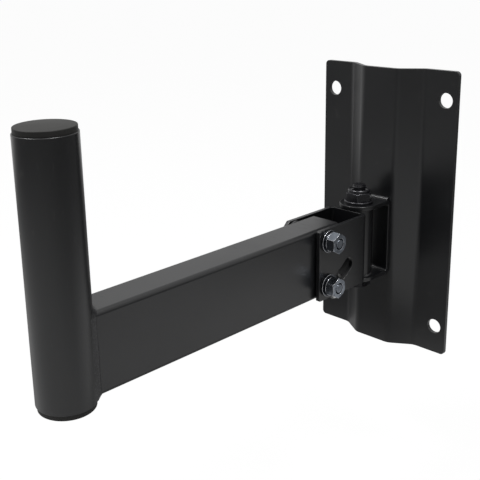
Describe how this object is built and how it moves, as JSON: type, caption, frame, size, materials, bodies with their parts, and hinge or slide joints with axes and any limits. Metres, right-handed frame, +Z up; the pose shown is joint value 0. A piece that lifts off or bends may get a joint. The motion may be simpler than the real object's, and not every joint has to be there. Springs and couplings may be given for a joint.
{
  "type": "speaker wall bracket",
  "caption": "Wall bracket for a loudspeaker: a folded wall plate carries an arm that swivels and tilts, and the arm ends in an upright pole.",
  "frame": {"origin": "middle of the wall plate's four fixing holes, on the face that meets the wall", "axes": "+X along the wall, +Y into the wall, +Z up along the pole; the arm points along -Y"},
  "size_m": [0.116, 0.3177, 0.2171],
  "materials": {
    "black_paint": "semi-gloss powder coat",
    "black_plastic": "matte",
    "nylon": "matte",
    "dark_steel": "black oxide",
    "zinc_steel": "zinc plated"
  },
  "bodies": {
    "wall": {"wall_plate": "black_paint", "swivel_bracket": "black_paint", "bracket_welds": "black_paint", "swivel_bolt": "dark_steel", "swivel_washer": "dark_steel", "swivel_nut": "dark_steel", "swivel_nut_insert": "nylon"},
    "yoke": {"yoke": "black_paint", "swivel_barrel": "black_paint", "barrel_welds": "black_paint", "swivel_bush_upper": "nylon", "swivel_bush_lower": "nylon"},
    "arm": {"arm_tube": "black_paint", "arm_weld": "black_paint", "lock_bolt": "zinc_steel", "lock_friction_washer_head_side": "nylon", "lock_friction_washer_nut_side": "nylon", "lock_nut": "zinc_steel", "lock_spring_washer": "zinc_steel", "lock_washer_head_side": "zinc_steel", "lock_washer_nut_side": "zinc_steel", "pivot_bolt": "zinc_steel", "pivot_friction_washer_head_side": "nylon", "pivot_friction_washer_nut_side": "nylon", "pivot_nut": "zinc_steel", "pivot_spring_washer": "zinc_steel", "pivot_washer_head_side": "zinc_steel", "pivot_washer_nut_side": "zinc_steel", "pole_cap_bottom": "black_plastic", "pole_cap_top": "black_plastic", "pole_tube": "black_paint"}
  },
  "joints": [
    {"name": "swivel", "type": "hinge", "parent": "wall", "child": "yoke", "pos_m": [0, -0.035, 0], "axis": [0, 0, 1], "range_deg": [-90, 90]},
    {"name": "tilt", "type": "hinge", "parent": "yoke", "child": "arm", "pos_m": [0, -0.091, -0.0025], "axis": [1, 0, 0], "range_deg": [0, 45]}
  ]
}
